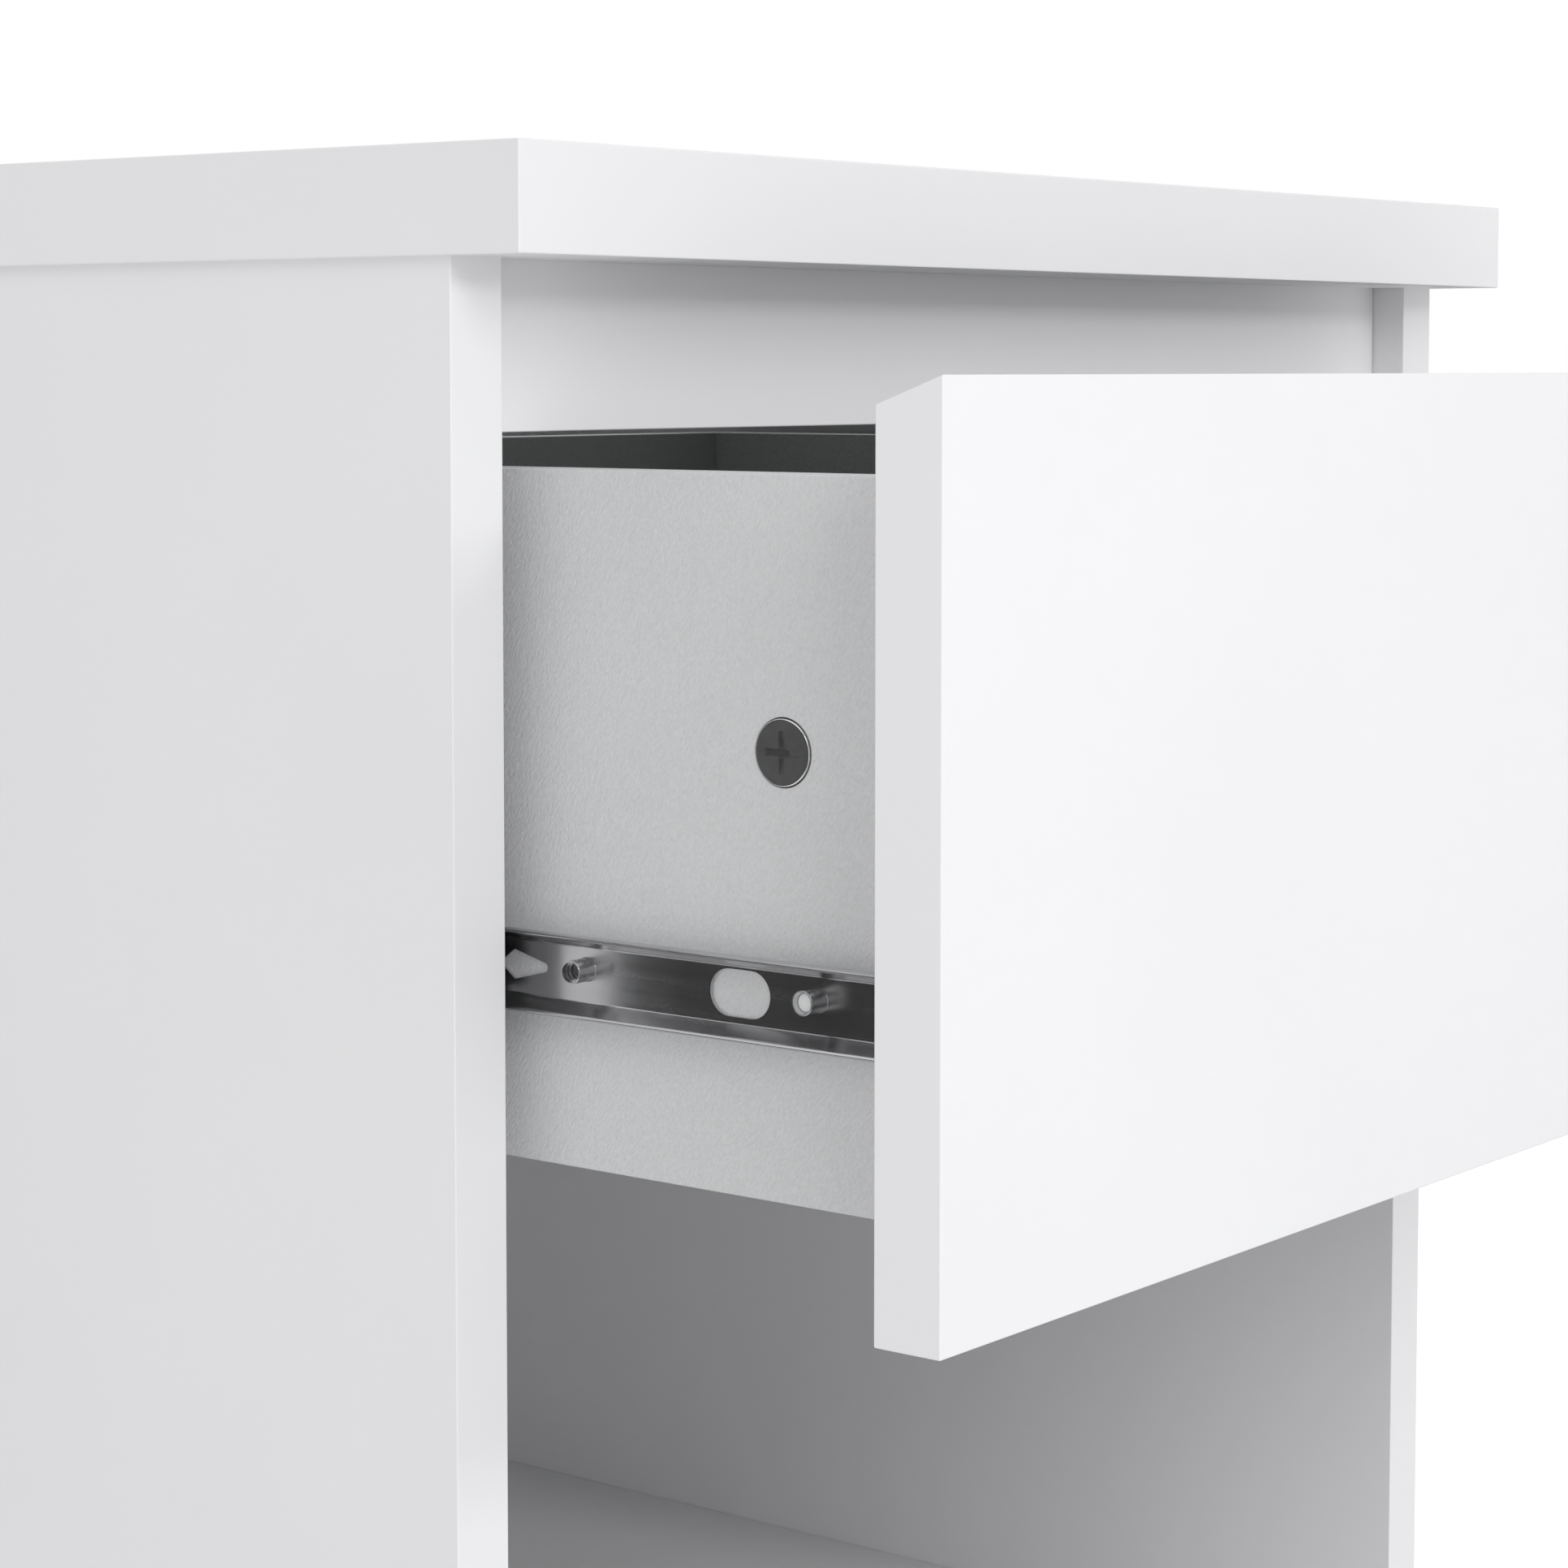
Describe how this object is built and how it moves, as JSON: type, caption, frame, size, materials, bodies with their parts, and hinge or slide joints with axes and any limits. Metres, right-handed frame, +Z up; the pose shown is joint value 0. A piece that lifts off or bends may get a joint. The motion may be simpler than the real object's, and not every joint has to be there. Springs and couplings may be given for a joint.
{
  "type": "under desk drawer cabinet",
  "caption": "White panel drawer cabinet for under a desk: overhanging top, one full-overlay drawer on ball-bearing slides above an open compartment.",
  "frame": {"origin": "on the floor, under the middle of the whole object with its drawer drawn out as stored", "axes": "+X to the right seen from the front, +Y to the back, +Z up; the drawer opens towards -Y"},
  "size_m": [0.403, 0.4974, 0.49],
  "materials": {
    "white_melamine": "smooth satin white melamine on particleboard",
    "drawer_foil": "fine-grained light grey foil outside, anthracite inside",
    "hardboard": "thin lacquered hardboard",
    "slide_steel": "bright zinc-plated rolled steel",
    "fastener_steel": "zinc-plated steel",
    "cam_zinc": "dark nickel-plated die-cast zinc",
    "white_nylon": "moulded nylon"
  },
  "bodies": {
    "cabinet": {"top_panel": "white_melamine", "left_side_panel": "white_melamine", "right_side_panel": "white_melamine", "front_rail": "white_melamine", "bottom_shelf": "white_melamine", "plinth": "white_melamine", "back_panel": "hardboard", "shelf_front_left_cam": "cam_zinc", "shelf_front_left_cam_bolt": "fastener_steel", "shelf_rear_left_cam": "cam_zinc", "shelf_rear_left_cam_bolt": "fastener_steel", "shelf_front_right_cam": "cam_zinc", "shelf_front_right_cam_bolt": "fastener_steel", "shelf_rear_right_cam": "cam_zinc", "shelf_rear_right_cam_bolt": "fastener_steel", "top_front_left_cam": "cam_zinc", "top_front_left_cam_bolt": "fastener_steel", "top_rear_left_cam": "cam_zinc", "top_rear_left_cam_bolt": "fastener_steel", "top_front_right_cam": "cam_zinc", "top_front_right_cam_bolt": "fastener_steel", "top_rear_right_cam": "cam_zinc", "top_rear_right_cam_bolt": "fastener_steel", "rail_left_cam": "cam_zinc", "rail_left_cam_bolt": "fastener_steel", "rail_right_cam": "cam_zinc", "rail_right_cam_bolt": "fastener_steel", "front_left_glide": "white_nylon", "left_cabinet_slide_screw_front": "fastener_steel", "rear_left_glide": "white_nylon", "left_cabinet_slide_screw_rear": "fastener_steel", "left_cabinet_slide_member": "slide_steel", "front_right_glide": "white_nylon", "right_cabinet_slide_screw_front": "fastener_steel", "rear_right_glide": "white_nylon", "right_cabinet_slide_screw_rear": "fastener_steel", "right_cabinet_slide_member": "slide_steel"},
    "drawer": {"drawer_front": "white_melamine", "drawer_left_side": "drawer_foil", "drawer_right_side": "drawer_foil", "drawer_back": "drawer_foil", "drawer_bottom": "hardboard", "drawer_left_cam": "cam_zinc", "drawer_left_cam_bolt": "fastener_steel", "drawer_back_screw_upper_left": "fastener_steel", "drawer_back_screw_lower_left": "fastener_steel", "left_drawer_slide_member": "slide_steel", "left_drawer_slide_screw": "fastener_steel", "left_drawer_slide_pin": "white_nylon", "drawer_right_cam": "cam_zinc", "drawer_right_cam_bolt": "fastener_steel", "drawer_back_screw_upper_right": "fastener_steel", "drawer_back_screw_lower_right": "fastener_steel", "right_drawer_slide_member": "slide_steel", "right_drawer_slide_screw": "fastener_steel", "right_drawer_slide_pin": "white_nylon"},
    "left_ball_strips": {"left_upper_ball_strip": "white_nylon", "left_lower_ball_strip": "white_nylon"},
    "right_ball_strips": {"right_upper_ball_strip": "white_nylon", "right_lower_ball_strip": "white_nylon"}
  },
  "joints": [
    {"name": "drawer_slide", "type": "slide", "parent": "cabinet", "child": "drawer", "axis": [0, -1, 0], "range_m": [-0.1012, 0.1488]},
    {"name": "left_strip_slide", "type": "slide", "parent": "cabinet", "child": "left_ball_strips", "axis": [0, -1, 0], "range_m": [-0.0506, 0.0744]},
    {"name": "right_strip_slide", "type": "slide", "parent": "cabinet", "child": "right_ball_strips", "axis": [0, -1, 0], "range_m": [-0.0506, 0.0744]}
  ],
  "couplings": [
    {"joint": "left_strip_slide", "follows": "drawer_slide", "ratio": 0.5},
    {"joint": "right_strip_slide", "follows": "drawer_slide", "ratio": 0.5}
  ]
}
